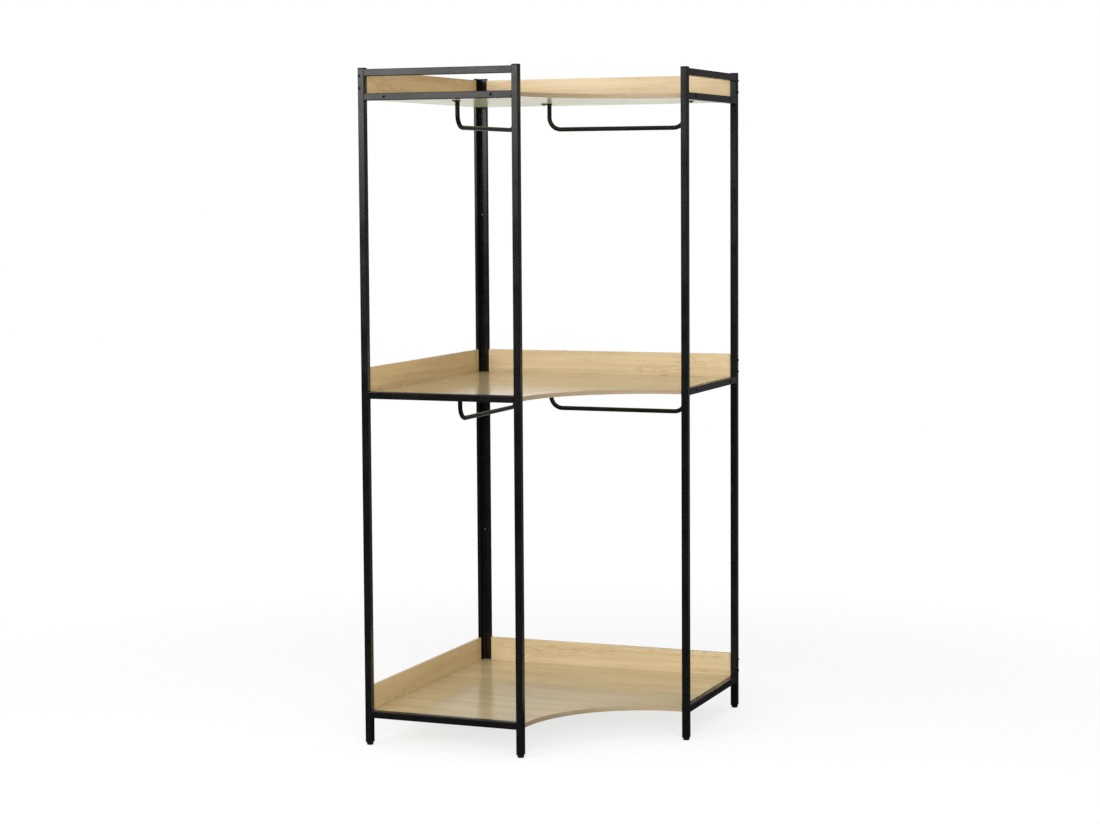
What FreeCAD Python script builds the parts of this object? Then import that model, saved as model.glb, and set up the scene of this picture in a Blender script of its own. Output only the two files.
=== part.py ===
import FreeCAD, Part
import os
import re
import Sketcher

# Open corner wardrobe: two square-tube side frames and an L-section corner post carry three boards with a
# concave front. Each board has a low upstand along both walls, and four bent rods hang under the upper two.
#
# +Z is up and the floor is Z = 0. The origin lies under the middle of the plan. The left wall is the plane
# X = -side_length / 2 and the right wall is the plane Y = side_length / 2, so the corner is at the back
# left. The left frame closes the far end of the left wall, and the right frame that of the right wall.

document = FreeCAD.newDocument("CornerWardrobe")
sizes = document.addObject("Spreadsheet::Sheet", "Sizes")

# Driving dimensions in millimetres: name, size, meaning.
driving_sizes = [
    ("side_length", 840, "outside length along each wall"),
    ("side_depth", 480, "depth of each side frame"),
    ("total_height", 1900, "floor to the top of the post caps"),
    ("tube_size", 20, "side of the square tube"),
    ("tube_wall", 1.2, "wall of the tubes and of the corner post"),
    ("tube_round", 2, "outer corner radius of the tubes and of the corner post"),
    ("bottom_rail_height", 78, "underside of the bottom rails"),
    ("middle_rail_height", 981, "underside of the middle rails"),
    ("split_drop", 44, "joint between the lower and the upper posts below the middle rails"),
    ("upper_rail_drop", 91, "underside of the upper rails below the top of the post caps"),
    ("board_thickness", 12, "thickness of a shelf board"),
    ("front_sag", 95, "depth of the concave front edge below its chord"),
    ("edge_band", 2, "thickness of the front edge band"),
    ("edge_round", 0.8, "rounding of the visible board edges"),
    ("upstand_height", 70, "height of an upstand above its board"),
    ("upstand_thickness", 10, "thickness of the upstands and of the corner post legs"),
    ("corner_leg", 34, "width of each corner post leg"),
    ("corner_round", 3, "radius in the inner corner of the corner post"),
    ("fit_gap", 0.3, "gap between the boards and the corner post"),
    ("screw_diameter", 4, "shank of the frame screws"),
    ("screw_bite", 25, "length of a frame screw in the wood"),
    ("screw_head", 8, "head diameter of the frame screws"),
    ("screw_crown", 5.4, "diameter of the flat on top of a frame screw head"),
    ("screw_rise", 1.8, "head height of the frame screws"),
    ("screw_socket", 2.5, "socket width across flats of the screws"),
    ("socket_depth", 1.2, "depth of the screw sockets"),
    ("hole_gap", 0.05, "radial gap round a screw or a dowel"),
    ("shelf_screw_inset", 80, "shelf screws from the ends of a side frame"),
    ("upstand_screw_inset", 18, "upstand screws from the long edges of an upstand"),
    ("corner_screw_stagger", 8, "height offset between crossing screws in the corner post"),
    ("wall_hole", 5.5, "diameter of the wall fixing holes in the corner post"),
    ("wall_hole_inset", 4, "wall fixing holes from the inner corner of the corner post"),
    ("wall_hole_low", 502, "height of the lower wall fixing hole"),
    ("wall_hole_drop", 417, "upper wall fixing hole below the top of the post caps"),
    ("dowel_diameter", 6, "diameter of the upstand dowels"),
    ("dowel_length", 24, "length of the upstand dowels"),
    ("dowel_depth", 8, "depth of the dowels in the shelf"),
    ("dowel_inset", 90, "end dowels from the ends of an upstand"),
    ("rod_diameter", 13, "diameter of the hanger rods"),
    ("rod_span", 424, "distance between the upright ends of a rod"),
    ("rod_drop", 76, "rod centre line below the shelf"),
    ("rod_bend", 36, "bend radius of a rod at its centre line"),
    ("rod_distance", 200, "rods from their own wall"),
    ("left_rod_centre", 398, "middle of the left rods from the right wall"),
    ("right_rod_centre", 529, "middle of the right rods from the left wall"),
    ("tab_length", 32, "length of a rod tab"),
    ("tab_width", 16, "width of a rod tab"),
    ("tab_thickness", 3, "thickness of a rod tab"),
    ("tab_round", 4, "corner radius of a rod tab"),
    ("tab_reach", 17, "tab screw from the rod axis"),
    ("tab_screw", 3.5, "shank of the tab screws"),
    ("tab_screw_head", 7, "head diameter of the tab screws"),
    ("tab_screw_crown", 4.6, "diameter of the flat on top of a tab screw head"),
    ("tab_screw_rise", 1.8, "head height of the tab screws"),
    ("tab_screw_bite", 8, "length of a tab screw in the wood"),
    ("sleeve_reach", 40, "length of a joining sleeve in each post half"),
    ("sleeve_wall", 1.5, "wall of the joining sleeves"),
    ("plug_gap", 0.1, "gap between a tube and what is pushed into it"),
    ("plug_depth", 12, "depth of the cap plugs in the tubes"),
    ("cap_rise", 4, "height of the post caps above the tube"),
    ("cap_round", 1.2, "rounding of the cap edges"),
    ("foot_rise", 8, "floor to the tube ends with the feet screwed in"),
    ("foot_gap", 0.4, "gap between a foot and its tube end"),
    ("foot_sole", 18, "diameter of a foot at the floor"),
    ("foot_shoulder", 19, "diameter of a foot under the tube"),
    ("foot_round", 1.5, "rounding of the sole edge"),
    ("stud_diameter", 6, "diameter of the foot studs"),
    ("stud_length", 24, "length of the foot studs"),
    ("stud_gap", 0.05, "radial running gap of the foot studs"),
    ("insert_length", 18, "length of the threaded inserts in the tube ends"),
]
for row, (name, millimetres, meaning) in enumerate(driving_sizes, start=1):
    sizes.set(f"A{row}", meaning)
    sizes.set(f"B{row}", str(millimetres))
    sizes.setAlias(f"B{row}", name)
document.recompute()
size_names = {name for name, millimetres, meaning in driving_sizes}

# Lengths and places that follow from the driving dimensions.
half = "(side_length / 2)"
post_top = "(total_height - cap_rise)"
split_height = "(middle_rail_height - split_drop)"
bore = "(tube_size / 2 - tube_wall)"
inner_side = "(side_length - tube_size)"
chord_step = f"({inner_side} - side_depth)"
front_radius = f"(({chord_step} ^ 2 / 2 + front_sag ^ 2) / (2 * front_sag))"
front_centre = f"(({inner_side} + side_depth) / 2 + ({front_radius} - front_sag) / sqrt(2))"
shelf_radius = f"({front_radius} + edge_band)"
shelf_corner = f"({front_centre} - sqrt({shelf_radius} ^ 2 - ({front_centre} - {inner_side}) ^ 2))"
front_middle = f"({front_centre} - {front_radius} / sqrt(2))"
shelf_middle = f"({front_centre} - {shelf_radius} / sqrt(2))"
rails = {
    "bottom": "bottom_rail_height",
    "middle": "middle_rail_height",
    "upper": "(total_height - upper_rail_drop)",
}
all_rails = dict(rails, top=f"({post_top} - tube_size)")
halves = {"lower": ("foot_rise", split_height), "upper": (split_height, post_top)}

# Directions in which a screw head can look.
to_left_wall = FreeCAD.Rotation(FreeCAD.Vector(0, 1, 0), -90)
to_right_wall = FreeCAD.Rotation(FreeCAD.Vector(1, 0, 0), -90)
to_left_side = FreeCAD.Rotation(FreeCAD.Vector(1, 0, 0), 90)
to_right_side = FreeCAD.Rotation(FreeCAD.Vector(0, 1, 0), 90)
downward = FreeCAD.Rotation(FreeCAD.Vector(1, 0, 0), 180)
upright = FreeCAD.Rotation()

nodes = []


def board_under(level):
    return f"({rails[level]} + (tube_size - board_thickness) / 2)"


def board_top(level):
    return f"({rails[level]} + (tube_size + board_thickness) / 2)"


def formula(text):
    # The expression with each size looked up in the sheet.
    def look_up(word):
        return f"Sizes.{word.group()}" if word.group() in size_names else word.group()

    return re.sub("[a-z_]+", look_up, text)


def value(text):
    return float(sizes.evalExpression(formula(text)))


def bind(item, path, text):
    item.setExpression(path, formula(text))


def place(item, x, y, z, turn=upright):
    item.Placement = FreeCAD.Placement(FreeCAD.Vector(), turn)
    for axis, text in zip("xyz", (x, y, z)):
        bind(item, f"Placement.Base.{axis}", text)
    return item


def node(item, label):
    item.Label = label
    nodes.append(item)
    return item


def sketch_on(body, plane, name):
    sketch = body.newObject("Sketcher::SketchObject", name)
    support = next(feature for feature in body.Origin.OriginFeatures if feature.Role == plane)
    sketch.AttachmentSupport = (support, [""])
    sketch.MapMode = "FlatFace"
    return sketch


def dimension(sketch, name, text, kind, *places):
    index = sketch.addConstraint(Sketcher.Constraint(kind, *places, value(text)))
    sketch.renameConstraint(index, name)
    bind(sketch, f"Constraints.{name}", text)


def draw(sketch, corners, arcs=None, closed=True):
    # Lines through the corners, each an (x, y) pair. An arc replaces the line after corner i where arcs[i]
    # gives its radius and a point on it.
    arcs = arcs or {}
    points = [FreeCAD.Vector(value(x), value(y), 0) for x, y in corners]
    first = sketch.GeometryCount
    segments = len(points) if closed else len(points) - 1
    ends = []
    for i in range(segments):
        start = points[i]
        end = points[(i + 1) % len(points)]
        if i in arcs:
            radius, x, y = arcs[i]
            curve = Part.Arc(start, FreeCAD.Vector(value(x), value(y), 0), end)
        else:
            curve = Part.LineSegment(start, end)
        index = sketch.addGeometry(curve, False)
        forward = sketch.getPoint(index, 1).isEqual(start, 1e-6)
        ends.append((1, 2) if forward else (2, 1))
        if i in arcs:
            dimension(sketch, f"radius_{index}", radius, "Radius", index)
    for i in range(segments):
        index = first + i
        following = (i + 1) % segments
        if closed or i + 1 < segments:
            pair = (index, ends[i][1], first + following, ends[following][0])
            sketch.addConstraint(Sketcher.Constraint("Coincident", *pair))
    for i, (x, y) in enumerate(corners):
        segment = min(i, segments - 1)
        point = (first + segment, ends[segment][0 if segment == i else 1])
        dimension(sketch, f"x_{first + i}", x, "DistanceX", -1, 1, *point)
        dimension(sketch, f"y_{first + i}", y, "DistanceY", -1, 1, *point)


def draw_circle(sketch, x, y, diameter):
    circle = Part.Circle(FreeCAD.Vector(value(x), value(y), 0), FreeCAD.Vector(0, 0, 1), value(diameter) / 2)
    index = sketch.addGeometry(circle, False)
    dimension(sketch, f"x_{index}", x, "DistanceX", -1, 1, index, 3)
    dimension(sketch, f"y_{index}", y, "DistanceY", -1, 1, index, 3)
    dimension(sketch, f"diameter_{index}", diameter, "Diameter", index)


def pad(body, sketch, length, downwards=False):
    feature = body.newObject("PartDesign::Pad", "Pad")
    feature.Profile = sketch
    feature.Reversed = downwards
    bind(feature, "Length", length)
    document.recompute()


def prism(name, length, *outlines):
    # A body whose section is drawn on its own XY plane.
    body = document.addObject("PartDesign::Body", name)
    sketch = sketch_on(body, "XY_Plane", "Section")
    for corners in outlines:
        draw(sketch, corners)
    pad(body, sketch, length)
    return body


def round_edges(body, chosen, radius):
    base = body.Tip
    edges = [f"Edge{i}" for i, edge in enumerate(base.Shape.Edges, start=1) if chosen(edge)]
    fillet = body.newObject("PartDesign::Fillet", "Rounding")
    fillet.Base = (base, edges)
    bind(fillet, "Radius", radius)
    document.recompute()


def round_uprights(body, corners, radius):
    # Rounds the edges along Z that stand on the given corners.
    spots = [FreeCAD.Vector(value(x), value(y), 0) for x, y in corners]

    def chosen(edge):
        foot = edge.CenterOfMass
        foot.z = 0
        along_z = abs(edge.tangentAt(edge.FirstParameter).z) > 0.99
        return along_z and any(foot.isEqual(spot, 1e-4) for spot in spots)

    round_edges(body, chosen, radius)


def round_level(body, height, radius):
    # Rounds the edges that lie at one height.
    level = value(height)

    def chosen(edge):
        return abs(edge.BoundBox.ZMin - level) < 1e-4 and abs(edge.BoundBox.ZMax - level) < 1e-4

    round_edges(body, chosen, radius)


def square(reach):
    return [(f"-{reach}", f"-{reach}"), (reach, f"-{reach}"), (reach, reach), (f"-{reach}", reach)]


def ell(inset):
    # The corner post section, drawn in from its outside by the inset. Its origin is where the walls meet.
    leg = f"(corner_leg - {inset})"
    wide = f"(upstand_thickness - {inset})"
    back = f"(0 + {inset})"
    return [
        (back, f"-{back}"),
        (leg, f"-{back}"),
        (leg, f"-{wide}"),
        (wide, f"-{wide}"),
        (wide, f"-{leg}"),
        (back, f"-{leg}"),
    ]


def instance(template, x, y, z, turn=upright):
    link = document.addObject("App::Link", f"{template.Label}_at")
    link.LinkedObject = template
    return place(link, x, y, z, turn)


def group(name, items):
    compound = document.addObject("Part::Compound", name)
    compound.Links = items
    return compound


def drilled(label, blank, tools):
    cut = document.addObject("Part::Cut", label)
    cut.Base = blank
    cut.Tool = group(f"{label}_holes", tools)
    return node(cut, label)


def cylinder(name, diameter, bottom, height):
    # A template round its own Z axis, from the given height upwards.
    shape = document.addObject("Part::Cylinder", f"{name}_cylinder")
    bind(shape, "Radius", f"({diameter}) / 2")
    bind(shape, "Height", height)
    place(shape, "0", "0", bottom)
    return group(name, [shape])


def screw_template(name, shank, length, head, crown, rise):
    # Head above Z = 0, shank below it, and a hexagon socket in the head.
    stem = cylinder(f"{name}_stem", shank, f"-({length})", length)
    cone = document.addObject("Part::Cone", f"{name}_head")
    bind(cone, "Radius1", f"{head} / 2")
    bind(cone, "Radius2", f"{crown} / 2")
    bind(cone, "Height", rise)
    whole = document.addObject("Part::Fuse", f"{name}_whole")
    whole.Base = stem
    whole.Tool = cone
    socket = document.addObject("Part::Prism", f"{name}_socket")
    socket.Polygon = 6
    bind(socket, "Circumradius", "screw_socket / sqrt(3)")
    bind(socket, "Height", "socket_depth")
    place(socket, "0", "0", f"{rise} - socket_depth")
    screw = document.addObject("Part::Cut", name)
    screw.Base = whole
    screw.Tool = socket
    return screw


def hole_template(name, diameter, length):
    # Drills a little past both ends of what it makes room for.
    bottom = f"-({length}) - hole_gap"
    return cylinder(name, f"{diameter} + 2 * hole_gap", bottom, f"({length}) + 2 * hole_gap")


# Fasteners, each modelled once and set at its places below.
frame_screw_length = "(tube_size + screw_bite)"
corner_screw_length = "(corner_leg + screw_bite)"
tab_screw_length = "(tab_thickness + tab_screw_bite)"
frame_head = ("screw_head", "screw_crown", "screw_rise")
tab_head = ("tab_screw_head", "tab_screw_crown", "tab_screw_rise")
frame_screw = screw_template("frame_screw", "screw_diameter", frame_screw_length, *frame_head)
corner_screw = screw_template("corner_screw", "screw_diameter", corner_screw_length, *frame_head)
tab_screw = screw_template("tab_screw", "tab_screw", tab_screw_length, *tab_head)
frame_hole = hole_template("frame_hole", "screw_diameter", frame_screw_length)
corner_hole = hole_template("corner_hole", "screw_diameter", corner_screw_length)
tab_hole = hole_template("tab_hole", "tab_screw", tab_screw_length)
wall_fixing = cylinder(
    "wall_fixing", "wall_hole", "-upstand_thickness - hole_gap", "upstand_thickness + 2 * hole_gap"
)
dowel = cylinder("dowel", "dowel_diameter", "-dowel_depth", "dowel_length")
dowel_hole = cylinder(
    "dowel_hole", "dowel_diameter + 2 * hole_gap", "-dowel_depth - hole_gap", "dowel_length + 2 * hole_gap"
)

# Places of the screws through the side rails, by side and shelf.
shelf_screw_spots = {}
for level, rail in rails.items():
    height = f"{rail} + tube_size / 2"
    shelf_screw_spots["left", level] = [
        (f"-{half} + shelf_screw_inset", f"-{half}", height, to_left_side),
        (f"-{half} + side_depth - shelf_screw_inset", f"-{half}", height, to_left_side),
    ]
    shelf_screw_spots["right", level] = [
        (half, f"{half} - shelf_screw_inset", height, to_right_side),
        (half, f"{half} - side_depth + shelf_screw_inset", height, to_right_side),
    ]

# Places of the screws through the rear posts and the corner post, by wall and shelf. The corner post screws
# of the two walls cross, so those of the left wall sit nearer the middle of their upstand.
post_screw_spots = {}
corner_screw_spots = {}
shelf_corner_spots = {}
panel_middle = "upstand_thickness / 2"
for level in rails:
    low = f"{board_top(level)} + upstand_screw_inset"
    high = f"{board_top(level)} + upstand_height - upstand_screw_inset"
    middle = f"{board_top(level)} - board_thickness / 2"
    post_screw_spots["left", level] = [
        (f"-{half} + {panel_middle}", f"-{half}", height, to_left_side) for height in (low, high)
    ]
    post_screw_spots["right", level] = [
        (half, f"{half} - {panel_middle}", height, to_right_side) for height in (low, high)
    ]
    staggered = (f"{low} + corner_screw_stagger", f"{high} - corner_screw_stagger")
    corner_screw_spots["left", level] = [
        (f"-{half} + {panel_middle}", half, height, to_right_wall) for height in staggered
    ]
    corner_screw_spots["right", level] = [
        (f"-{half}", f"{half} - {panel_middle}", height, to_left_wall) for height in (low, high)
    ]
    shelf_corner_spots[level] = [(f"-{half}", f"{half} - {panel_middle}", middle, to_left_wall)]

# Places of the dowels between an upstand and its shelf.
dowel_spots = {}
for level in rails:
    corner_end = "corner_leg + fit_gap + dowel_inset"
    frame_end = f"{inner_side} - dowel_inset"
    steps = (corner_end, f"(({corner_end}) + ({frame_end})) / 2", frame_end)
    dowel_spots["left", level] = [
        (f"-{half} + {panel_middle}", f"{half} - ({step})", board_top(level)) for step in steps
    ]
    dowel_spots["right", level] = [
        (f"-{half} + {step}", f"{half} - {panel_middle}", board_top(level)) for step in steps
    ]

# Each rod: its middle, and its two ends with the direction in which the tab looks.
rod_middles = {
    "left": (f"(-{half} + rod_distance)", f"({half} - left_rod_centre)"),
    "right": (f"(-{half} + right_rod_centre)", f"({half} - rod_distance)"),
}
rod_turns = {
    "left": FreeCAD.Rotation(FreeCAD.Vector(0, 0, 1), 90),
    "right": upright,
}


def rod_ends(side):
    x, y = rod_middles[side]
    for sign, angle in (("+", 0), ("-", 180)):
        reach = "(rod_span / 2 + tab_reach)"
        if side == "left":
            end = (x, f"{y} {sign} rod_span / 2")
            screw = (x, f"{y} {sign} {reach}")
            turn = angle + 90
        else:
            end = (f"{x} {sign} rod_span / 2", y)
            screw = (f"{x} {sign} {reach}", y)
            turn = angle
        yield end, screw, FreeCAD.Rotation(FreeCAD.Vector(0, 0, 1), turn)


rod_levels = ("middle", "upper")
tab_spots = []
tab_screw_spots = {level: [] for level in rod_levels}
for level in rod_levels:
    seat = f"{board_under(level)} - tab_thickness"
    for side in rod_middles:
        for end, screw, turn in rod_ends(side):
            tab_spots.append((*end, seat, turn))
            tab_screw_spots[level].append((*screw, seat, downward))


# Square tubes
def tube(name, length):
    body = prism(name, length, square("(tube_size / 2)"), square(bore))
    round_uprights(body, square("(tube_size / 2)"), "tube_round")
    round_uprights(body, square(bore), "tube_round - tube_wall")
    return body


post_places = {
    ("left", "rear"): (f"-{half} + tube_size / 2", f"-{half} + tube_size / 2"),
    ("left", "front"): (f"-{half} + side_depth - tube_size / 2", f"-{half} + tube_size / 2"),
    ("right", "front"): (f"{half} - tube_size / 2", f"{half} - side_depth + tube_size / 2"),
    ("right", "rear"): (f"{half} - tube_size / 2", f"{half} - tube_size / 2"),
}
half_levels = {"lower": ["bottom"], "upper": ["middle", "upper"]}
for (side, end), (x, y) in post_places.items():
    for half_name, (bottom, top) in halves.items():
        label = f"{side}_{end}_post_{half_name}"
        if end == "front":
            node(place(tube(label, f"{top} - {bottom}"), x, y, bottom), label)
            continue
        blank = place(tube(f"{label}_blank", f"{top} - {bottom}"), x, y, bottom)
        spots = [spot for level in half_levels[half_name] for spot in post_screw_spots[side, level]]
        drilled(label, blank, [instance(frame_hole, *spot) for spot in spots])

rail_length = "(side_depth - 2 * tube_size)"
along_left = FreeCAD.Rotation(FreeCAD.Vector(0, 1, 0), 90)
along_right = FreeCAD.Rotation(FreeCAD.Vector(1, 0, 0), -90)
for level, rail in all_rails.items():
    starts = {
        "left": (f"-{half} + tube_size", f"-{half} + tube_size / 2", along_left),
        "right": (f"{half} - tube_size / 2", f"{half} - side_depth + tube_size", along_right),
    }
    for side, (x, y, turn) in starts.items():
        label = f"{side}_{level}_rail"
        height = f"{rail} + tube_size / 2"
        if level == "top":
            node(place(tube(label, rail_length), x, y, height, turn), label)
            continue
        blank = place(tube(f"{label}_blank", rail_length), x, y, height, turn)
        drilled(label, blank, [instance(frame_hole, *spot) for spot in shelf_screw_spots[side, level]])


# Corner post
wall_holes = {"lower": "wall_hole_low", "upper": "total_height - wall_hole_drop"}
convex_corners = [corner for i, corner in enumerate(ell("0")) if i != 3]
concave_corner = [ell("0")[3]]
for half_name, (bottom, top) in halves.items():
    label = f"corner_post_{half_name}"
    blank = prism(f"{label}_blank", f"{top} - {bottom}", ell("0"), ell("tube_wall"))
    round_uprights(blank, convex_corners, "tube_round")
    round_uprights(blank, concave_corner, "corner_round")
    place(blank, f"-{half}", half, bottom)
    tools = [
        instance(corner_hole, *spot)
        for level in half_levels[half_name]
        for spots in (
            corner_screw_spots["left", level],
            corner_screw_spots["right", level],
            shelf_corner_spots[level],
        )
        for spot in spots
    ]
    hole_x = f"-{half} + upstand_thickness + wall_hole_inset"
    tools.append(instance(wall_fixing, hole_x, half, wall_holes[half_name], to_right_wall))
    drilled(label, blank, tools)

# Joining sleeves
plug_round = "tube_round - tube_wall"
plug = square(f"({bore} - plug_gap)")
sleeve = prism("sleeve", "2 * sleeve_reach", plug, square(f"({bore} - plug_gap - sleeve_wall)"))
round_uprights(sleeve, plug, plug_round)
sleeve_bottom = f"{split_height} - sleeve_reach"
sleeves = group("sleeves", [instance(sleeve, x, y, sleeve_bottom) for x, y in post_places.values()])
node(sleeves, "post_sleeves")
corner_sleeve = prism("corner_sleeve", "2 * sleeve_reach", ell("(tube_wall + plug_gap)"))
node(place(corner_sleeve, f"-{half}", half, sleeve_bottom), "corner_post_sleeve")


# Caps, a plate over the tube end with a plug in it
def cap(name, plate, plate_corners, rise, plug_outline):
    body = prism(name, rise, plate)
    round_uprights(body, plate_corners, "tube_round")
    round_level(body, rise, "cap_round")
    sketch = sketch_on(body, "XY_Plane", "PlugSection")
    draw(sketch, plug_outline)
    pad(body, sketch, "plug_depth", downwards=True)
    return body


tube_outline = square("(tube_size / 2)")
post_cap = cap("post_cap", tube_outline, tube_outline, "cap_rise", plug)
round_uprights(post_cap, plug, plug_round)
post_caps = group("post_caps", [instance(post_cap, x, y, post_top) for x, y in post_places.values()])
node(post_caps, "post_top_caps")
ell_plug = ell("(tube_wall + plug_gap)")
corner_cap = cap("corner_cap", ell("0"), convex_corners, "cap_rise", ell_plug)
node(place(corner_cap, f"-{half}", half, post_top), "corner_post_cap")
corner_shoe = cap("corner_shoe", ell("0"), convex_corners, "foot_rise", ell_plug)
upside_down = FreeCAD.Rotation(FreeCAD.Vector(1, -1, 0), 180)
node(place(corner_shoe, f"-{half}", half, "foot_rise", upside_down), "corner_post_shoe")


# Levelling feet and their threaded inserts
def foot(name):
    body = document.addObject("PartDesign::Body", name)
    sketch = sketch_on(body, "XZ_Plane", "Profile")
    shoulder = "(foot_rise - foot_gap)"
    draw(
        sketch,
        [
            ("0", "0"),
            ("foot_sole / 2", "0"),
            ("foot_shoulder / 2", shoulder),
            ("stud_diameter / 2", shoulder),
            ("stud_diameter / 2", f"{shoulder} + stud_length"),
            ("0", f"{shoulder} + stud_length"),
        ],
    )
    turned = body.newObject("PartDesign::Revolution", "Turned")
    turned.Profile = sketch
    turned.ReferenceAxis = (sketch, ["V_Axis"])
    document.recompute()
    round_level(body, "0", "foot_round")
    return body


for (side, end), (x, y) in post_places.items():
    node(place(foot(f"{side}_{end}_foot_body"), x, y, "0"), f"{side}_{end}_foot")

insert = document.addObject("PartDesign::Body", "insert")
insert_section = sketch_on(insert, "XY_Plane", "Section")
draw(insert_section, plug)
draw_circle(insert_section, "0", "0", "stud_diameter + 2 * stud_gap")
pad(insert, insert_section, "insert_length")
round_uprights(insert, plug, plug_round)
inserts = group("inserts", [instance(insert, x, y, "foot_rise") for x, y in post_places.values()])
node(inserts, "foot_inserts")


# Shelves with their front edge bands
def shelf(name):
    notch = "(corner_leg + fit_gap)"
    step = "(upstand_thickness + fit_gap)"
    corners = [
        (notch, "0"),
        (inner_side, "0"),
        (inner_side, f"-{shelf_corner}"),
        (shelf_corner, f"-{inner_side}"),
        ("0", f"-{inner_side}"),
        ("0", f"-{notch}"),
        (step, f"-{notch}"),
        (step, f"-{step}"),
        (notch, f"-{step}"),
    ]
    body = document.addObject("PartDesign::Body", name)
    sketch = sketch_on(body, "XY_Plane", "Outline")
    draw(sketch, corners, {2: (shelf_radius, shelf_middle, f"-{shelf_middle}")})
    pad(body, sketch, "board_thickness")
    round_uprights(body, [corners[7]], "corner_round")
    return body


def edge_band(name):
    corners = [
        (inner_side, f"-{shelf_corner}"),
        (inner_side, "-side_depth"),
        ("side_depth", f"-{inner_side}"),
        (shelf_corner, f"-{inner_side}"),
    ]
    arcs = {
        1: (front_radius, front_middle, f"-{front_middle}"),
        3: (shelf_radius, shelf_middle, f"-{shelf_middle}"),
    }
    body = document.addObject("PartDesign::Body", name)
    sketch = sketch_on(body, "XY_Plane", "Outline")
    draw(sketch, corners, arcs)
    pad(body, sketch, "board_thickness")
    radius = value(front_radius)

    def chosen(edge):
        return hasattr(edge.Curve, "Radius") and abs(edge.Curve.Radius - radius) < 1e-4

    round_edges(body, chosen, "edge_round")
    return body


for level in rails:
    blank = place(shelf(f"{level}_shelf_blank"), f"-{half}", half, board_under(level))
    frame_spots = shelf_screw_spots["left", level] + shelf_screw_spots["right", level]
    tools = [instance(frame_hole, *spot) for spot in frame_spots]
    tools += [instance(corner_hole, *spot) for spot in shelf_corner_spots[level]]
    tools += [instance(tab_hole, *spot) for spot in tab_screw_spots.get(level, [])]
    tools += [instance(dowel_hole, *spot) for side in rod_middles for spot in dowel_spots[side, level]]
    drilled(f"{level}_shelf", blank, tools)
    band = place(edge_band(f"{level}_band"), f"-{half}", half, board_under(level))
    node(band, f"{level}_shelf_edge_band")


# Upstands
def upstand(name, corners):
    body = prism(name, "upstand_height", corners)
    round_level(body, "upstand_height", "edge_round")
    return body


panel_start = "(corner_leg + fit_gap)"
panels = {
    "left": [
        ("0", f"-{inner_side}"),
        ("upstand_thickness", f"-{inner_side}"),
        ("upstand_thickness", f"-{panel_start}"),
        ("0", f"-{panel_start}"),
    ],
    "right": [
        (panel_start, "-upstand_thickness"),
        (inner_side, "-upstand_thickness"),
        (inner_side, "0"),
        (panel_start, "0"),
    ],
}
for level in rails:
    for side, corners in panels.items():
        label = f"{level}_{side}_upstand"
        blank = place(upstand(f"{label}_blank", corners), f"-{half}", half, board_top(level))
        tools = [instance(frame_hole, *spot) for spot in post_screw_spots[side, level]]
        tools += [instance(corner_hole, *spot) for spot in corner_screw_spots[side, level]]
        tools += [instance(dowel_hole, *spot) for spot in dowel_spots[side, level]]
        drilled(label, blank, tools)


# Hanger rods
def hanger_rod(name):
    depth = "(rod_drop - tab_thickness)"
    end = "(rod_span / 2)"
    bend_start = f"({end} - rod_bend)"
    bend_top = f"-({depth} - rod_bend)"
    on_bend = "(rod_bend / sqrt(2))"
    body = document.addObject("PartDesign::Body", name)
    path = sketch_on(body, "XZ_Plane", "Path")
    corners = [
        (f"-{end}", "0"),
        (f"-{end}", bend_top),
        (f"-{bend_start}", f"-{depth}"),
        (bend_start, f"-{depth}"),
        (end, bend_top),
        (end, "0"),
    ]
    bend_middle = f"{bend_top} - {on_bend}"
    arcs = {
        1: ("rod_bend", f"-{bend_start} - {on_bend}", bend_middle),
        3: ("rod_bend", f"{bend_start} + {on_bend}", bend_middle),
    }
    draw(path, corners, arcs, closed=False)
    section = sketch_on(body, "XY_Plane", "Section")
    draw_circle(section, f"-{end}", "0", "rod_diameter")
    document.recompute()
    pipe = body.newObject("PartDesign::AdditivePipe", "Rod")
    pipe.Profile = section
    pipe.Spine = (path, [f"Edge{i + 1}" for i in range(path.GeometryCount)])
    document.recompute()
    return body


for level in rod_levels:
    for side, (x, y) in rod_middles.items():
        label = f"{level}_{side}_hanger_rod"
        seat = f"{board_under(level)} - tab_thickness"
        node(place(hanger_rod(f"{label}_body"), x, y, seat, rod_turns[side]), label)

tab_back = "-(tab_width / 2)"
tab_front = "(tab_length - tab_width / 2)"
tab_side = "(tab_width / 2)"
tab_corners = [
    (tab_back, f"-{tab_side}"),
    (tab_front, f"-{tab_side}"),
    (tab_front, tab_side),
    (tab_back, tab_side),
]
tab = document.addObject("PartDesign::Body", "tab")
tab_section = sketch_on(tab, "XY_Plane", "Section")
draw(tab_section, tab_corners)
draw_circle(tab_section, "tab_reach", "0", "tab_screw + 2 * hole_gap")
pad(tab, tab_section, "tab_thickness")
round_uprights(tab, tab_corners, "tab_round")
node(group("tabs", [instance(tab, *spot) for spot in tab_spots]), "hanger_rod_tabs")

# Fastener groups
fasteners = {
    "shelf_screws": (frame_screw, shelf_screw_spots.values()),
    "rear_post_screws": (frame_screw, post_screw_spots.values()),
    "corner_post_screws": (corner_screw, [*corner_screw_spots.values(), *shelf_corner_spots.values()]),
    "hanger_rod_screws": (tab_screw, tab_screw_spots.values()),
    "upstand_dowels": (dowel, dowel_spots.values()),
}
for label, (template, spot_lists) in fasteners.items():
    links = [instance(template, *spot) for spots in spot_lists for spot in spots]
    node(group(f"{label}_group", links), label)

document.recompute()
for item in document.Objects:
    if "Invalid" in item.State or "Error" in item.State:
        raise RuntimeError(f"{item.Label} failed: {item.State}")
for item in nodes:
    if item.Shape.isNull() or not item.Shape.isValid() or not item.Shape.Solids:
        raise RuntimeError(f"{item.Label} has no sound shape")

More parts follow.
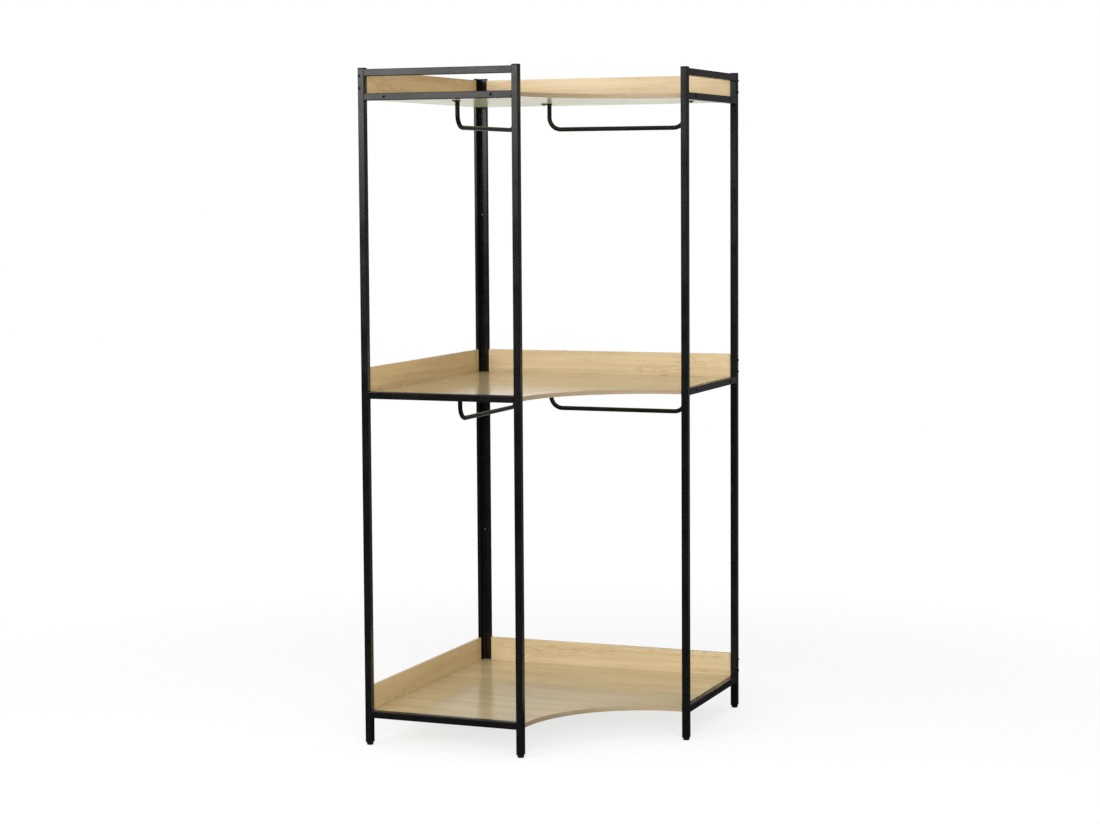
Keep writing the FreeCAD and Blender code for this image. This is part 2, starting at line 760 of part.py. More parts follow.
os.makedirs("parts", exist_ok=True)
for item in nodes:
    item.Shape.exportStep(os.path.join("parts", f"{item.Label}.step"))
    print(f"{item.Label}: {len(item.Shape.Solids)} solids, {item.Shape.Volume / 1000:.1f} cm3")
print(f"{len(nodes)} nodes")
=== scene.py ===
import math

import bmesh
import bpy
import numpy as np
from mathutils import Matrix, Vector


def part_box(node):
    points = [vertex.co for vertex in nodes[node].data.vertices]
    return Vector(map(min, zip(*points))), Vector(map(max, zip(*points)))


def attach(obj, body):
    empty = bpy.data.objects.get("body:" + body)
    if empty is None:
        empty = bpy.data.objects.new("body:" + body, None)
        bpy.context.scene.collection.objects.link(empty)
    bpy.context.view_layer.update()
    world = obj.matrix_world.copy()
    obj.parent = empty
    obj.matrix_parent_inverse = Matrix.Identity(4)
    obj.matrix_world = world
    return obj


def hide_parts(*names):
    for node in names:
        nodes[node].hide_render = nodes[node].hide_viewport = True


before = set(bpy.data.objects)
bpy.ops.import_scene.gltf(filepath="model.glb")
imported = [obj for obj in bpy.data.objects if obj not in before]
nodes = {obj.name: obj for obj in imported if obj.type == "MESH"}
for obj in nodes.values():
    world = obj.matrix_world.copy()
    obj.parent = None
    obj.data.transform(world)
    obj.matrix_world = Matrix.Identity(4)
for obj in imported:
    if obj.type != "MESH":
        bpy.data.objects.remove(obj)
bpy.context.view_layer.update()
print("frame loaded:", len(nodes), "nodes")


# Node helpers, so that a node takes one line further down
def addNode(tree, kind, inputs=None, **settings):
    node = tree.nodes.new("ShaderNode" + kind)
    for name, setting in settings.items():
        setattr(node, name, setting)
    for name, value in (inputs or {}).items():
        if isinstance(value, bpy.types.NodeSocket):
            tree.links.new(value, node.inputs[name])
        else:
            node.inputs[name].default_value = value
    return node


def calc(tree, operation, a, b=0.0, clamp=False):
    return addNode(tree, "Math", {0: a, 1: b}, operation=operation, use_clamp=clamp).outputs[0]


def remap(tree, value, low, high, toLow=0.0, toHigh=1.0):
    inputs = {"Value": value, "From Min": low, "From Max": high, "To Min": toLow, "To Max": toHigh}
    return addNode(tree, "MapRange", inputs, interpolation_type="SMOOTHSTEP").outputs[0]


def mixColour(tree, factor, a, b):
    return addNode(tree, "Mix", {0: factor, 6: a, 7: b}, data_type="RGBA").outputs[2]


def mixValue(tree, factor, a, b):
    return addNode(tree, "Mix", {0: factor, 2: a, 3: b}, data_type="FLOAT").outputs[0]


def split(tree, vector):
    return addNode(tree, "SeparateXYZ", {0: vector}).outputs


def dot(tree, a, b):
    return addNode(tree, "VectorMath", {0: a, 1: b}, operation="DOT_PRODUCT").outputs["Value"]


def noise(tree, vector, scale=1.0, detail=2.0, roughness=0.5, dimensions="3D"):
    inputs = {"Vector": vector, "Scale": scale, "Detail": detail, "Roughness": roughness}
    return addNode(tree, "TexNoise", inputs, noise_dimensions=dimensions).outputs["Fac"]


def bump(tree, height, strength, distance):
    return addNode(tree, "Bump", {"Height": height, "Strength": strength, "Distance": distance}).outputs[0]


def newGroup(name, inputs, outputs):
    tree = bpy.data.node_groups.new(name, "ShaderNodeTree")
    for label, kind, value in inputs:
        socket = tree.interface.new_socket(name=label, in_out="INPUT", socket_type="NodeSocket" + kind)
        if value is not None:
            socket.default_value = value
    for label, kind in outputs:
        tree.interface.new_socket(name=label, in_out="OUTPUT", socket_type="NodeSocket" + kind)
    return tree, tree.nodes.new("NodeGroupInput").outputs, tree.nodes.new("NodeGroupOutput").inputs


def useGroup(tree, group, inputs):
    return addNode(tree, "Group", inputs, node_tree=group).outputs


def newMaterial(name, **constants):
    material = bpy.data.materials.new(name)
    material.use_nodes = True
    tree = material.node_tree
    shader = next(node for node in tree.nodes if node.type == "BSDF_PRINCIPLED")
    for socket, value in constants.items():
        shader.inputs[socket.replace("_", " ")].default_value = value
    return material, tree, shader.inputs, addNode(tree, "TexCoord").outputs


# Oak print: the grain runs along X of the vector it is given, and the sum of Y and Z counts as the way
# across, so lying and standing faces both show long grain. Every mark is noise stretched along the grain:
# four numbers give its cycles in a metre along and across, its detail and its roughness, and a cut gives the
# noise levels between which the mark sets in. The way across is shifted by a slow noise, so the bands waver.
oakPrint = {
    "slow": (1.4, 4.0, 2.0, 0.5), "waver": 0.016,
    "bands": (0.9, 15.0, 3.0, 0.6), "bandCut": (0.38, 0.63), "bandShare": 0.58,
    "streaks": (1.1, 95.0, 3.0, 0.65), "streakCut": (0.38, 0.68), "streakShare": 0.42,
    "fibres": (10.0, 760.0, 2.0, 0.5), "fibreCut": (0.3, 0.7), "fibreLevel": (0.95, 1.05),
    "pores": (24.0, 1150.0, 1.0, 0.5), "poreCut": (0.58, 0.70), "poreDepth": 0.75,
    "flecks": (30.0, 430.0, 2.0, 0.5), "fleckCut": (0.59, 0.72), "fleckShare": 0.8,
    "patches": (2.6, 26.0, 2.0, 0.5), "patchCut": (0.42, 0.66),
    "fibreRough": 0.04, "poreRough": 0.12, "fibreHeight": 0.5,
}


def makeOakGrain():
    inputs = [("Vector", "Vector", None)] + [(label, "Color", None) for label in ("Pale", "Tan", "Pore")]
    outputs = [("Color", "Color"), ("Height", "Float"), ("Rough", "Float")]
    tree, given, out = newGroup("oakGrain", inputs, outputs)
    parts = split(tree, given["Vector"])
    across = calc(tree, "ADD", parts["Y"], parts["Z"])

    def stretched(mark, way):
        cyclesAlong, cyclesAcross, detail, roughness = oakPrint[mark]
        vector = addNode(tree, "CombineXYZ", {"X": calc(tree, "MULTIPLY", parts["X"], cyclesAlong),
                                              "Y": calc(tree, "MULTIPLY", way, cyclesAcross)}).outputs[0]
        return noise(tree, vector, 1.0, detail, roughness, "2D")

    slow = calc(tree, "SUBTRACT", stretched("slow", across), 0.5)  # noise lies about a half
    wavy = calc(tree, "ADD", across, calc(tree, "MULTIPLY", slow, oakPrint["waver"]))
    bands = remap(tree, stretched("bands", wavy), *oakPrint["bandCut"])
    streaks = remap(tree, stretched("streaks", wavy), *oakPrint["streakCut"])
    fibres = stretched("fibres", wavy)
    pores = remap(tree, stretched("pores", wavy), *oakPrint["poreCut"])
    flecks = remap(tree, stretched("flecks", wavy), *oakPrint["fleckCut"])
    patches = remap(tree, stretched("patches", wavy), *oakPrint["patchCut"])
    marks = calc(tree, "MAXIMUM", pores, calc(tree, "MULTIPLY", flecks, oakPrint["fleckShare"]))
    poreMask = calc(tree, "MULTIPLY", calc(tree, "MULTIPLY", marks, patches), oakPrint["poreDepth"], True)
    tone = calc(tree, "ADD", calc(tree, "MULTIPLY", bands, oakPrint["bandShare"]),
                calc(tree, "MULTIPLY", streaks, oakPrint["streakShare"]), True)
    ground = mixColour(tree, tone, given["Pale"], given["Tan"])
    level = remap(tree, fibres, *oakPrint["fibreCut"], *oakPrint["fibreLevel"])
    lifted = addNode(tree, "HueSaturation", {"Value": level, "Color": ground}).outputs[0]
    rough = calc(tree, "ADD", calc(tree, "MULTIPLY", fibres, oakPrint["fibreRough"]),
                 calc(tree, "MULTIPLY", poreMask, oakPrint["poreRough"]))
    height = calc(tree, "SUBTRACT", calc(tree, "MULTIPLY", fibres, oakPrint["fibreHeight"]), poreMask)
    tree.links.new(mixColour(tree, poreMask, lifted, given["Pore"]), out["Color"])
    tree.links.new(height, out["Height"])
    tree.links.new(rough, out["Rough"])
    return tree


# Fine grain of a coat or a moulding: cells of the given size in metres for the bump, and slow cloudy patches
# that shift tone and gloss a little
fineSet = {"cell": 0.0008, "cellNoise": (2.0, 0.55), "cellCut": (0.25, 0.75),
           "patch": 0.09, "patchNoise": (3.0, 0.6), "patchCut": (0.3, 0.7)}


def makeFineGrain():
    inputs = [("Vector", "Vector", None), ("Cell", "Float", fineSet["cell"])]
    tree, given, out = newGroup("fineGrain", inputs, [("Height", "Float"), ("Cloud", "Float")])
    cells = noise(tree, given["Vector"], calc(tree, "DIVIDE", 1.0, given["Cell"]), *fineSet["cellNoise"])
    cloud = noise(tree, given["Vector"], 1.0 / fineSet["patch"], *fineSet["patchNoise"])
    tree.links.new(remap(tree, cells, *fineSet["cellCut"]), out["Height"])
    tree.links.new(remap(tree, cloud, *fineSet["patchCut"]), out["Cloud"])
    return tree


oakGrain = makeOakGrain()
fineGrain = makeFineGrain()

# Boards: the same print, turned along each piece and tinted, with a pale backing sheet under the shelves;
# the upstands' tints are painted light, painted shade on the left ones and a painted sheen on the right ones
boardLook = {
    "Pale": (0.655, 0.515, 0.305), "Tan": (0.555, 0.42, 0.228), "Pore": (0.35, 0.225, 0.105),
    "roughness": 0.14, "bumpStrength": 0.06, "bumpDistance": 0.0002,
    "backing": (0.68, 0.69, 0.4), "backingTan": 0.08, "backingRoughness": (0.18, 0.22), "facesDown": -0.5,
}


def makeBoard(name, turn=0.0, underside=False, tint=(1.0, 1.0, 1.0)):
    material, tree, shader, place = newMaterial(name)
    mapped = addNode(tree, "Mapping", {"Vector": place["Object"], "Rotation": (0.0, 0.0, turn)}).outputs[0]
    tones = {label: (*np.multiply(boardLook[label], tint), 1) for label in ("Pale", "Tan", "Pore")}
    grain = useGroup(tree, oakGrain, {"Vector": mapped, **tones})
    colour = grain["Color"]
    rough = calc(tree, "ADD", grain["Rough"], boardLook["roughness"])
    if underside:  # faces that look down carry the backing sheet
        down = calc(tree, "LESS_THAN", split(tree, place["Normal"])["Z"], boardLook["facesDown"])
        cloud = useGroup(tree, fineGrain, {"Vector": place["Object"]})["Cloud"]
        backing, tan = ((*boardLook[label], 1) for label in ("backing", "Tan"))
        sheet = mixColour(tree, calc(tree, "MULTIPLY", cloud, boardLook["backingTan"]), backing, tan)
        colour = mixColour(tree, down, colour, sheet)
        rough = mixValue(tree, down, rough, remap(tree, cloud, 0.0, 1.0, *boardLook["backingRoughness"]))
    tree.links.new(colour, shader["Base Color"])
    tree.links.new(rough, shader["Roughness"])
    relief = bump(tree, grain["Height"], boardLook["bumpStrength"], boardLook["bumpDistance"])
    tree.links.new(relief, shader["Normal"])
    return material


# Edge band: the same print in darker tones, with the grain along the strip, which runs at about 45 degrees
# from one front post to the other
bandTones = {"Pale": (0.36, 0.278, 0.175, 1), "Tan": (0.29, 0.218, 0.128, 1), "Pore": (0.19, 0.13, 0.07, 1)}
bandLook = {"roughness": 0.36, "bumpStrength": 0.2, "bumpDistance": 0.0002}


def makeBand(name):
    material, tree, shader, place = newMaterial(name)
    parts = split(tree, place["Object"])
    along = calc(tree, "MULTIPLY", calc(tree, "ADD", parts["X"], parts["Y"]), math.sqrt(0.5))
    strip = addNode(tree, "CombineXYZ", {"X": along, "Z": parts["Z"]}).outputs[0]
    grain = useGroup(tree, oakGrain, {"Vector": strip, **bandTones})
    tree.links.new(grain["Color"], shader["Base Color"])
    tree.links.new(calc(tree, "ADD", grain["Rough"], bandLook["roughness"]), shader["Roughness"])
    relief = bump(tree, grain["Height"], bandLook["bumpStrength"], bandLook["bumpDistance"])
    tree.links.new(relief, shader["Normal"])
    return material


# Black coats and mouldings share the fine grain and differ in tones, gloss, cell size and depth
blackLook = {"blue": 1.06, "glossier": 0.03, "duller": 0.04, "bumpStrength": 0.1}
blackFinish = {
    "blackPowderCoat": {"tones": (0.0030, 0.0045), "roughness": 0.25, "cell": 0.0009, "depth": 0.00004},
    "blackPlastic": {"tones": (0.005, 0.008), "roughness": 0.5, "cell": 0.0006, "depth": 0.00005},
    "blackenedScrew": {"tones": (0.002, 0.004), "roughness": 0.4, "cell": 0.0004, "depth": 0.00003},
}


def makeBlack(name, **constants):
    finish = blackFinish[name]
    material, tree, shader, place = newMaterial(name, **constants)
    grain = useGroup(tree, fineGrain, {"Vector": place["Object"], "Cell": finish["cell"]})
    dark, light = ((tone, tone, blackLook["blue"] * tone, 1) for tone in finish["tones"])
    tree.links.new(mixColour(tree, grain["Cloud"], dark, light), shader["Base Color"])
    low, high = finish["roughness"] - blackLook["glossier"], finish["roughness"] + blackLook["duller"]
    tree.links.new(remap(tree, grain["Cloud"], 0.0, 1.0, low, high), shader["Roughness"])
    tree.links.new(bump(tree, grain["Height"], blackLook["bumpStrength"], finish["depth"]), shader["Normal"])
    return material


# Bare steel of the hidden sleeves, with drawing lines along the posts
steelLook = {"lines": (900.0, 900.0, 12.0), "dark": (0.4, 0.4, 0.41, 1), "light": (0.55, 0.55, 0.56, 1),
             "lineCut": (0.2, 0.8), "roughness": (0.28, 0.42)}


def makeSteel(name):
    material, tree, shader, place = newMaterial(name, Metallic=1.0)
    drawn = addNode(tree, "Mapping", {"Vector": place["Object"], "Scale": steelLook["lines"]}).outputs[0]
    lines = noise(tree, drawn)
    tree.links.new(mixColour(tree, lines, steelLook["dark"], steelLook["light"]), shader["Base Color"])
    tree.links.new(remap(tree, lines, *steelLook["lineCut"], *steelLook["roughness"]), shader["Roughness"])
    return material


lookOf = {
    "shelf": makeBoard("oakShelf", underside=True, tint=(1.06, 1.07, 1.06)),
    # painted shade: the left upstands get a darker, warmer tint that stands for the shade they lie in,
    # facing away from the lamps
    "leftUpstand": makeBoard("oakLeftUpstandPaintedShade", turn=math.radians(90), tint=(0.95, 0.9, 0.8)),
    # painted sheen: the right upstands get a paler, bluer tint that stands for a white reflection on their
    # fronts
    "rightUpstand": makeBoard("oakRightUpstandPaintedSheen", tint=(1.02, 1.04, 1.1)),
    "band": makeBand("oakEdgeBand"),
    "dowel": makeBoard("beechDowel", tint=(1.05, 1.0, 0.95)),
    "coat": makeBlack("blackPowderCoat"),
    "plastic": makeBlack("blackPlastic"),
    "screw": makeBlack("blackenedScrew", Specular_IOR_Level=0.2),
    "steel": makeSteel("bareSteel"),
}

# Looks by the ending of a node's name; posts, rails, rods and tabs are left over and get the coat
lookByEnding = {
    "_shelf": "shelf", "left_upstand": "leftUpstand", "right_upstand": "rightUpstand", "edge_band": "band",
    "dowels": "dowel", "screws": "screw", "_foot": "plastic", "_cap": "plastic", "_caps": "plastic",
    "_shoe": "plastic", "_inserts": "plastic", "_sleeve": "steel", "_sleeves": "steel",
}


def lookFor(name):
    fitting = [look for ending, look in lookByEnding.items() if name.endswith(ending)]
    return lookOf[fitting[0] if fitting else "coat"]


for name, piece in nodes.items():
    for slot in piece.material_slots:
        slot.material = lookFor(name)
print("looks on the frame:", len(lookOf))


# Rows of rings become closed tubes: quads between neighbouring rings and a flat lid on each end ring
def ringMesh(name, rings, smoothAngle):
    shells = rings.reshape(-1, *rings.shape[-3:])
    count, rows, cols = shells.shape[:3]
    index = np.arange(count * rows * cols).reshape(count, rows, cols)
    beside = np.roll(index, -1, axis=2)
    corners = [index[:, :-1], beside[:, :-1], beside[:, 1:], index[:, 1:]]
    quads = np.stack(corners, axis=-1).reshape(-1, 4)
    lids = np.concatenate([index[:, 0, ::-1], index[:, -1]])
    mesh = bpy.data.meshes.new(name)
    mesh.from_pydata(shells.reshape(-1, 3).tolist(), [], quads.tolist() + lids.tolist())
    work = bmesh.new()
    work.from_mesh(mesh)
    bmesh.ops.recalc_face_normals(work, faces=work.faces)
    work.to_mesh(mesh)
    work.free()
    mesh.shade_smooth()
    mesh.set_sharp_from_angle(angle=math.radians(smoothAngle))
    piece = bpy.data.objects.new(name, mesh)
    bpy.context.scene.collection.objects.link(piece)
    return piece


def dress(piece, look, body, slotName, *stoodFor):
    piece.data.materials.append(lookOf[look])
    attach(piece, body)
    if stoodFor:
        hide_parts(*stoodFor)


# Hanger rods: a circle carried down from its tab, round a quarter bend, along, round the other bend and up.
# Next to each tab the circle widens as a hollow weld fillet with a ripple round it.
rodShape = {"bend": 0.036, "weld": 0.0013, "ripple": 0.12, "ripples": 13, "around": 40,
            "weldRows": 8, "straightRows": 4, "bendRows": 20, "smoothAngle": 50}


def hangerRod(nodeName):
    low, high = (np.array(corner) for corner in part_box(nodeName))
    size = high - low
    thin = int(np.argmin(size[:2]))
    radius, bend, weld = size[thin] / 2, rodShape["bend"], rodShape["weld"]
    reach = size[1 - thin] / 2 - radius
    drop = size[2] - radius
    turn = np.linspace(0, math.pi / 2, rodShape["bendRows"])
    straight = np.linspace(weld, drop - bend, rodShape["straightRows"])
    fall = np.concatenate([np.linspace(0, weld, rodShape["weldRows"]), straight[1:-1]])
    out = np.concatenate([np.full_like(fall, reach), reach - bend + bend * np.cos(turn)])
    down = np.concatenate([fall, drop - bend + bend * np.sin(turn)])
    lean = np.concatenate([np.zeros_like(fall), turn])  # how far the path has turned from straight down
    hollow = np.sqrt(np.maximum(weld**2 - (weld - down) ** 2, 0))
    fillet = np.where(down < weld, weld - hollow, 0.0)
    out = np.concatenate([out, -out[::-1]])
    down = np.concatenate([down, down[::-1]])
    lean = np.concatenate([lean, math.pi - lean[::-1]])
    fillet = np.concatenate([fillet, fillet[::-1]])
    angle = np.linspace(0, 2 * math.pi, rodShape["around"], endpoint=False)
    ripple = 1 + rodShape["ripple"] * np.cos(rodShape["ripples"] * angle)
    wide = radius + fillet[:, None] * ripple[None, :]
    inPlane = wide * np.cos(angle)
    rings = np.empty(wide.shape + (3,))
    middle = (low + high) / 2
    rings[..., 1 - thin] = middle[1 - thin] + out[:, None] + inPlane * np.cos(lean)[:, None]
    rings[..., thin] = middle[thin] + wide * np.sin(angle)
    rings[..., 2] = high[2] - down[:, None] - inPlane * np.sin(lean)[:, None]
    rod = ringMesh(nodeName.replace("hanger_rod", "bent_rod"), rings, rodShape["smoothAngle"])
    dress(rod, "coat", "frame", "frame_black", nodeName)


for name in [name for name in nodes if name.endswith("hanger_rod")]:
    hangerRod(name)
print("hanger rods bent")

# Feet: a turned profile of radius over height, with a thread on the stud: the radius drops by a saw of the
# height in pitches plus the angle in turns. The thread runs in over its first pitches and ends in a chamfer.
footShape = {"sole": 0.009, "soleFlat": 0.0045, "soleRound": 0.0015, "shoulder": 0.0095,
             "shoulderTop": 0.0076, "shoulderRound": 0.0008, "stud": 0.003, "pitch": 0.001,
             "threadDepth": 0.00042, "runIn": 0.002, "tip": 0.0012, "chamfer": 0.000504,
             "around": 40, "roundRows": 7, "rowsPerPitch": 8, "smoothAngle": 40}


def turnedFoot(nodeName):
    low, high = (np.array(corner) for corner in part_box(nodeName))
    spec = footShape
    top = spec["shoulderTop"]
    quarter = np.linspace(0, math.pi / 2, spec["roundRows"])
    soleRadius = spec["sole"] - spec["soleRound"] * (1 - np.sin(quarter))
    soleHeight = spec["soleRound"] * (1 - np.cos(quarter))
    edgeRadius = spec["shoulder"] - spec["shoulderRound"] * (1 - np.cos(quarter))
    edgeHeight = top - spec["shoulderRound"] * (1 - np.sin(quarter))
    studRows = int(round((high[2] - top) / spec["pitch"] * spec["rowsPerPitch"]))
    studHeight = np.linspace(top, high[2], studRows)
    radius = np.concatenate([[spec["soleFlat"]], soleRadius, edgeRadius, np.full(studRows, spec["stud"])])
    height = np.concatenate([[0.0], soleHeight, edgeHeight, studHeight])
    angle = np.linspace(0, 2 * math.pi, spec["around"], endpoint=False)
    turns = (height[:, None] - top) / spec["pitch"] + angle[None, :] / (2 * math.pi)
    saw = np.abs(2 * (turns % 1.0) - 1)
    depth = spec["threadDepth"] * np.clip((height - top) / spec["runIn"], 0, 1)
    chamfer = spec["chamfer"] * np.clip((height - high[2] + spec["tip"]) / spec["tip"], 0, 1)
    wide = radius[:, None] - depth[:, None] * saw - chamfer[:, None]
    middle = (low + high) / 2
    rings = np.stack([middle[0] + wide * np.cos(angle), middle[1] + wide * np.sin(angle),
                      np.broadcast_to(height[:, None], wide.shape)], axis=-1)
    foot = ringMesh(nodeName.replace("_foot", "_levelling_foot"), rings, spec["smoothAngle"])
    dress(foot, "plastic", nodeName, "black_plastic", nodeName)


for name in [name for name in nodes if name.endswith("_foot")]:
    turnedFoot(name)
print("levelling feet turned")

# Welds in the inner corners between rails and posts: a quarter bulge from the rail to the post, carried over
# the flat of the tube, with a bowed ripple along it and thin ends
weldShape = {"leg": 0.0017, "flat": 0.0132, "ripple": 0.08, "step": 0.0016, "bow": 2.2,
             "endShare": 1.98, "endPower": 6, "rows": 49, "arcRows": 9, "smoothAngle": 60}


def railWelds():
    spec = weldShape
    along = np.linspace(-0.5, 0.5, spec["rows"])[:, None]
    arc = np.linspace(0, math.pi / 2, spec["arcRows"])
    phase = 2 * math.pi * along * spec["flat"] / spec["step"]
    wave = 1 + spec["ripple"] * np.cos(phase + spec["bow"] * (arc - math.pi / 4) ** 2)
    taper = np.sqrt(1 - (spec["endShare"] * np.abs(along)) ** spec["endPower"])
    reach = spec["leg"] * wave * taper
    root = np.zeros((spec["rows"], 1))  # the inner corner itself
    outward = np.concatenate([root, reach * np.cos(arc)], axis=1)  # along the rail
    upward = np.concatenate([root, reach * np.sin(arc)], axis=1)  # up the post
    sideways = np.broadcast_to(along * spec["flat"], outward.shape)
    shells = []
    for name in [name for name in nodes if name.endswith("_rail")]:
        low, high = (np.array(corner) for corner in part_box(name))
        run = int(np.argmax((high - low)[:2]))
        for end, step in ((low[run], 1), (high[run], -1)):
            for face, lift in ((high[2], 1), (low[2], -1)):
                shell = np.empty(outward.shape + (3,))
                shell[..., run] = end + step * outward
                shell[..., 1 - run] = (low + high)[1 - run] / 2 + sideways
                shell[..., 2] = face + lift * upward
                shells.append(shell)
    welds = ringMesh("rail_welds", np.stack(shells), spec["smoothAngle"])
    dress(welds, "coat", "frame", "frame_black")


railWelds()
print("rail welds laid")

# Studio: plain white for the camera. As a light it is bright on the backdrop's side and dim in front. Gloss
# sees a darker surround, with a glow straight behind the part: left of the middle, and below the horizon.
# A reach gives the cosines to the backdrop, or sideways, over which a level goes from its first value to
# its second.
studioSet = {
    "backdrop": (-0.37, 0.93, 0.0), "sideways": (0.93, 0.37, 0.0),
    "fill": (0.12, 0.65), "fillReach": (-0.5, 0.6),
    "mirrored": (0.03, 0.15), "mirroredReach": (0.1, 0.6),
    "glow": (0.0, 1.15), "glowReach": (0.968, 0.998),
    "glowLeft": (1.0, 0.0), "leftReach": (-0.01, 0.075),
}


def isShiny(tree, ray):
    return calc(tree, "ADD", ray["Is Glossy Ray"], ray["Is Transmission Ray"], True)


def surround(tree, way):
    return remap(tree, way, *studioSet["mirroredReach"], *studioSet["mirrored"])


# Floor: lit near the part, so that its shadow shows, and plain white for the camera further out. Gloss sees
# it dark near the part, and further out as the surround, with a sheen straight behind the part.
floorSet = {
    "size": 60.0, "edge": (1.1, 2.6),
    "pale": (0.29, 0.29, 0.29, 1), "speckle": (0.27, 0.27, 0.27, 1), "speckleScale": 40.0, "lift": 0.73,
    "bounce": (0.7, 0.7, 0.67, 1), "mirrored": (0.06, 0.06, 0.06, 1),
    "spread": 0.75, "sheen": (0.0, 0.5), "sheenReach": (0.93, 0.985),
}


def makeFloor():
    mesh = bpy.data.meshes.new("floor")
    half = floorSet["size"] / 2
    corners = [(-half, -half, 0), (half, -half, 0), (half, half, 0), (-half, half, 0)]
    mesh.from_pydata(corners, [], [(0, 1, 2, 3)])
    floor = bpy.data.objects.new("floor", mesh)
    bpy.context.scene.collection.objects.link(floor)
    material = bpy.data.materials.new("paleFloor")
    material.use_nodes = True
    tree = material.node_tree
    tree.nodes.clear()
    place = addNode(tree, "TexCoord").outputs["Object"]
    away = addNode(tree, "VectorMath", {0: place}, operation="LENGTH").outputs["Value"]
    ray = addNode(tree, "LightPath").outputs
    shiny = isShiny(tree, ray)
    speckles = noise(tree, place, floorSet["speckleScale"])
    ground = mixColour(tree, speckles, floorSet["pale"], floorSet["speckle"])
    unseen = mixColour(tree, shiny, floorSet["bounce"], floorSet["mirrored"])
    colour = mixColour(tree, ray["Is Camera Ray"], unseen, ground)
    matt = addNode(tree, "BsdfDiffuse", {"Color": colour}).outputs[0]
    lift = calc(tree, "MULTIPLY", ray["Is Camera Ray"], floorSet["lift"])
    lifted = addNode(tree, "Emission", {"Strength": lift}).outputs[0]
    lit = addNode(tree, "AddShader", {0: matt, 1: lifted}).outputs[0]
    way = calc(tree, "DIVIDE", dot(tree, place, studioSet["backdrop"]), away)
    sheen = remap(tree, way, *floorSet["sheenReach"], *floorSet["sheen"])
    mirrored = calc(tree, "ADD", surround(tree, way), sheen)
    level = mixValue(tree, shiny, floorSet["spread"], mirrored)
    strength = calc(tree, "MAXIMUM", level, ray["Is Camera Ray"])
    white = addNode(tree, "Emission", {"Strength": strength}).outputs[0]
    share = remap(tree, away, *floorSet["edge"])
    mixed = addNode(tree, "MixShader", {0: share, 1: lit, 2: white}).outputs[0]
    addNode(tree, "OutputMaterial", {"Surface": mixed})
    mesh.materials.append(material)


def makeWorld():
    world = bpy.data.worlds.new("studio")
    world.use_nodes = True
    tree = world.node_tree
    tree.nodes.clear()
    direction = addNode(tree, "TexCoord").outputs["Generated"]
    ray = addNode(tree, "LightPath").outputs
    way = dot(tree, direction, studioSet["backdrop"])
    beside = dot(tree, direction, studioSet["sideways"])
    fill = remap(tree, way, *studioSet["fillReach"], *studioSet["fill"])
    glow = remap(tree, way, *studioSet["glowReach"], *studioSet["glow"])
    left = remap(tree, beside, *studioSet["leftReach"], *studioSet["glowLeft"])
    below = calc(tree, "LESS_THAN", split(tree, direction)["Z"], 0.0)
    seenGlow = calc(tree, "MULTIPLY", glow, calc(tree, "MAXIMUM", left, below))
    mirrored = calc(tree, "ADD", surround(tree, way), seenGlow)
    level = mixValue(tree, isShiny(tree, ray), fill, mirrored)
    strength = calc(tree, "MAXIMUM", level, ray["Is Camera Ray"])
    light = addNode(tree, "Background", {"Color": (1, 1, 1, 1), "Strength": strength}).outputs[0]
    addNode(tree, "OutputWorld", {"Surface": light})
    bpy.context.scene.world = world


makeFloor()
makeWorld()

# Lamps: place, target, size and radiance. Only the key shows in the gloss, and not in the shelves, which
# would mirror it as a white patch from behind: they are left out of its light and get the same lamp without
# gloss.
keySpec = {"place": (-2.29, -3.7, 2.72), "target": (-0.1, -0.2, 1.35), "size": (2.4, 1.9), "radiance": 4.6}
lamps = {
    "keySoftbox": {**keySpec, "gloss": True, "shelves": "EXCLUDE"},
    "shelfSoftbox": {**keySpec, "gloss": False, "shelves": "INCLUDE"},
    "frontFill": {"place": (2.25, -4.95, 1.85), "target": (0.0, 0.0, 0.9), "size": (4.5, 3.2),
                  "radiance": 6.6, "gloss": False},
    "overhead": {"place": (0.2, -0.8, 4.2), "target": (0.0, 0.0, 0.0), "size": (4.5, 4.5),
                 "radiance": 1.0, "gloss": False},
}


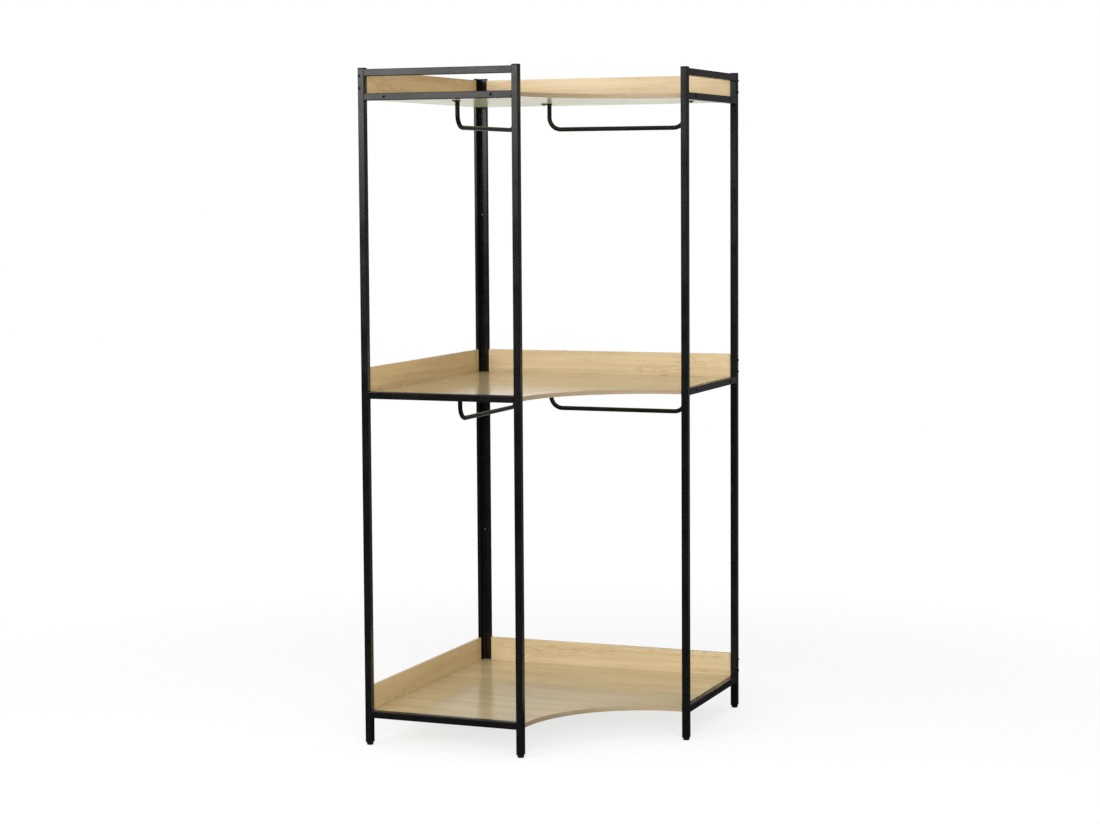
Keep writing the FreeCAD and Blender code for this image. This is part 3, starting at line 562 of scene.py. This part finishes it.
def makeLamp(name, spec):
    lamp = bpy.data.lights.new(name, "AREA")
    lamp.shape = "RECTANGLE"
    width, height = spec["size"]
    lamp.size, lamp.size_y = width, height
    lamp.energy = spec["radiance"] * math.pi * width * height
    holder = bpy.data.objects.new(name, lamp)
    bpy.context.scene.collection.objects.link(holder)
    aim = Vector(spec["target"]) - Vector(spec["place"])
    holder.location = spec["place"]
    holder.rotation_euler = aim.to_track_quat("-Z", "Y").to_euler()
    holder.visible_camera = False
    holder.visible_glossy = spec["gloss"]
    if "shelves" in spec:
        linked = bpy.data.collections.new(name + "Link")
        for piece in [piece for label, piece in nodes.items() if label.endswith("_shelf")]:
            linked.objects.link(piece)
        for entry in linked.collection_objects:
            entry.light_linking.link_state = spec["shelves"]
        holder.light_linking.receiver_collection = linked


for name, spec in lamps.items():
    makeLamp(name, spec)
print("floor, backdrop and lamps set")

# Camera: fitted to the picture's edges; angles in radians, focal length in pixels of the 1100 wide frame
cameraSet = {"place": (2.5731, -6.522, 1.5729), "yaw": 0.3783, "pitch": -0.075, "roll": 0.0064,
             "focal": 2434.3, "frameWidth": 1100, "shiftY": -0.04, "sensor": 36.0}


def makeCamera():
    spec = cameraSet
    data = bpy.data.cameras.new("camera")
    data.sensor_width = spec["sensor"]
    data.lens = spec["focal"] / spec["frameWidth"] * spec["sensor"]
    data.shift_y = spec["shiftY"]
    right = Vector((math.cos(spec["yaw"]), math.sin(spec["yaw"]), 0))
    level = Vector((-math.sin(spec["yaw"]), math.cos(spec["yaw"]), 0))
    ahead = level * math.cos(spec["pitch"]) + Vector((0, 0, math.sin(spec["pitch"])))
    up = right.cross(ahead)
    tilted = right * math.cos(spec["roll"]) - up * math.sin(spec["roll"])
    upTilted = right * math.sin(spec["roll"]) + up * math.cos(spec["roll"])
    holder = bpy.data.objects.new("camera", data)
    bpy.context.scene.collection.objects.link(holder)
    turn = Matrix((tilted, upTilted, -ahead)).transposed()
    holder.matrix_world = Matrix.Translation(spec["place"]) @ turn.to_4x4()
    bpy.context.scene.camera = holder


makeCamera()
bpy.context.scene.view_settings.view_transform = "Standard"
print("camera set")
